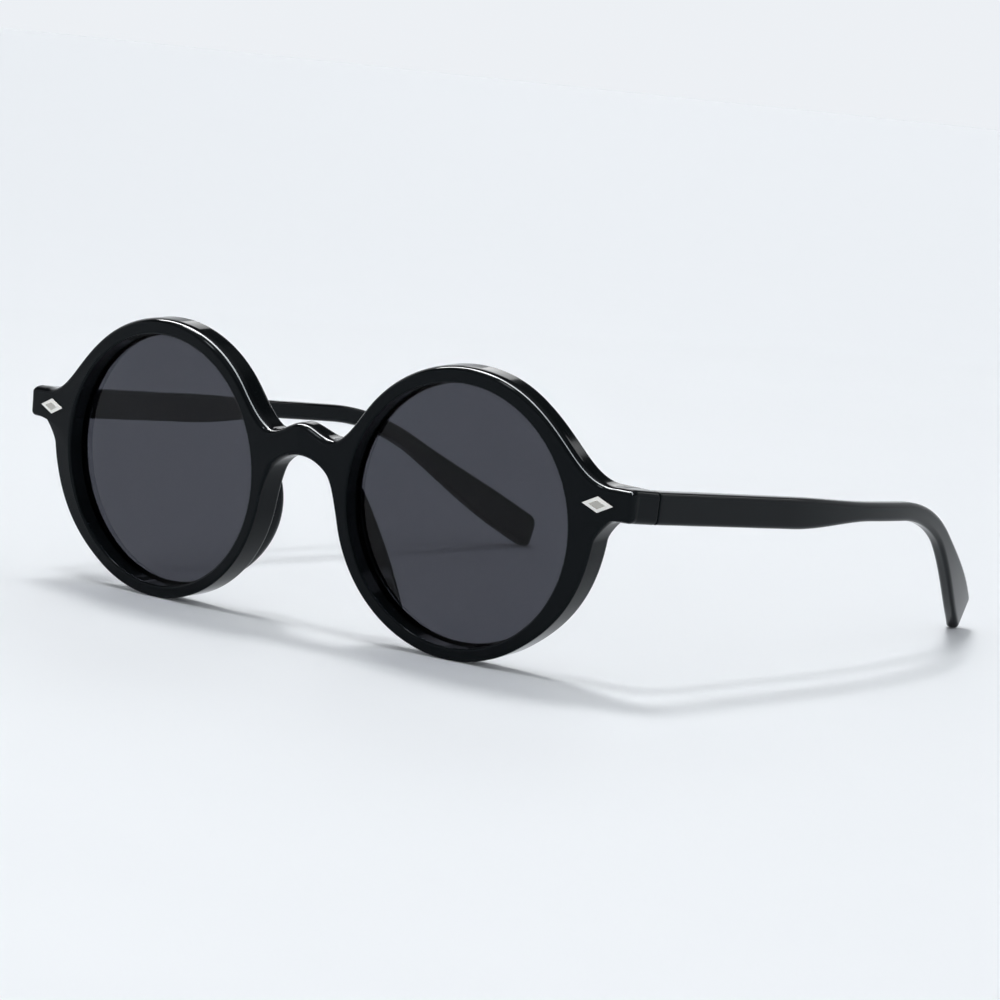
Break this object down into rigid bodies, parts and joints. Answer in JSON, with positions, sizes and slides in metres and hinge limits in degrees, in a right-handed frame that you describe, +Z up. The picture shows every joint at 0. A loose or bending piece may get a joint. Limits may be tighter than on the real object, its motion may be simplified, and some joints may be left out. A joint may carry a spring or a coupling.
{
  "type": "sunglasses",
  "caption": "Round full-rim sunglasses in gloss black moulded plastic, with flat dark grey lenses, diamond-shaped metal studs and hinged temples that fold behind the front.",
  "frame": {"origin": "bottom centre of the box round the open glasses, on the surface that the rims and the tips of the temples stand on", "axes": "+Z up; the front faces -Y and the temples run back along +Y; +X is the wearer's left"},
  "size_m": [0.15, 0.1546, 0.0535],
  "materials": {
    "gloss_black": "polished moulded cellulose plastic",
    "smoke_lens": "smooth tinted polycarbonate, semi-transparent",
    "polished_silver": "polished bevelled metal",
    "hinge_steel": "satin hinge metal"
  },
  "bodies": {
    "front": {"front_frame": "gloss_black", "lens_left": "smoke_lens", "lens_right": "smoke_lens", "stud_left": "polished_silver", "stud_right": "polished_silver", "hinge_front_leaf_left": "hinge_steel", "hinge_front_leaf_right": "hinge_steel", "hinge_screw_left": "hinge_steel", "hinge_screw_right": "hinge_steel"},
    "temple_left": {"temple_left": "gloss_black", "hinge_temple_leaf_left": "hinge_steel"},
    "temple_right": {"temple_right": "gloss_black", "hinge_temple_leaf_right": "hinge_steel"}
  },
  "joints": [
    {"name": "temple_left_fold", "type": "hinge", "parent": "front", "child": "temple_left", "pos_m": [0.06691, -0.06427, 0.03263], "axis": [0.0061, 0.0367, 0.9993], "range_deg": [0, 87]},
    {"name": "temple_right_fold", "type": "hinge", "parent": "front", "child": "temple_right", "pos_m": [-0.06691, -0.06427, 0.03263], "axis": [0.0061, -0.0367, -0.9993], "range_deg": [0, 79]}
  ]
}
